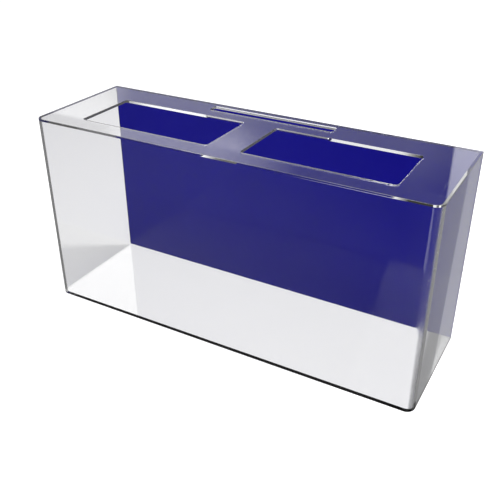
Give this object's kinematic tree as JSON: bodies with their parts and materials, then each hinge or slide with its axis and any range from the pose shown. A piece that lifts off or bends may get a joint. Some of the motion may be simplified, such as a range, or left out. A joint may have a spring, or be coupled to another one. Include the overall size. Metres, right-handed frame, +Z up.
{
  "type": "acrylic aquarium",
  "caption": "Long rectangular clear acrylic fish tank with heat-bent front corners, a blue rear wall and a top brace cut out for access openings and a rear slot.",
  "frame": {"origin": "centre of the footprint on the underside of the bottom panel, where the tank rests", "axes": "+X along the length to the right as seen from the front, +Y from the front wall to the blue rear wall, +Z up"},
  "size_m": [1.2192, 0.381, 0.6096],
  "materials": {
    "clear_acrylic": "clear cast acrylic sheet with polished edges",
    "blue_acrylic": "opaque cobalt blue acrylic sheet, glossy on both faces"
  },
  "bodies": {
    "root": {"front_and_sides": "clear_acrylic", "rear_panel": "blue_acrylic", "bottom_panel": "clear_acrylic", "top_panel": "clear_acrylic"}
  },
  "joints": []
}
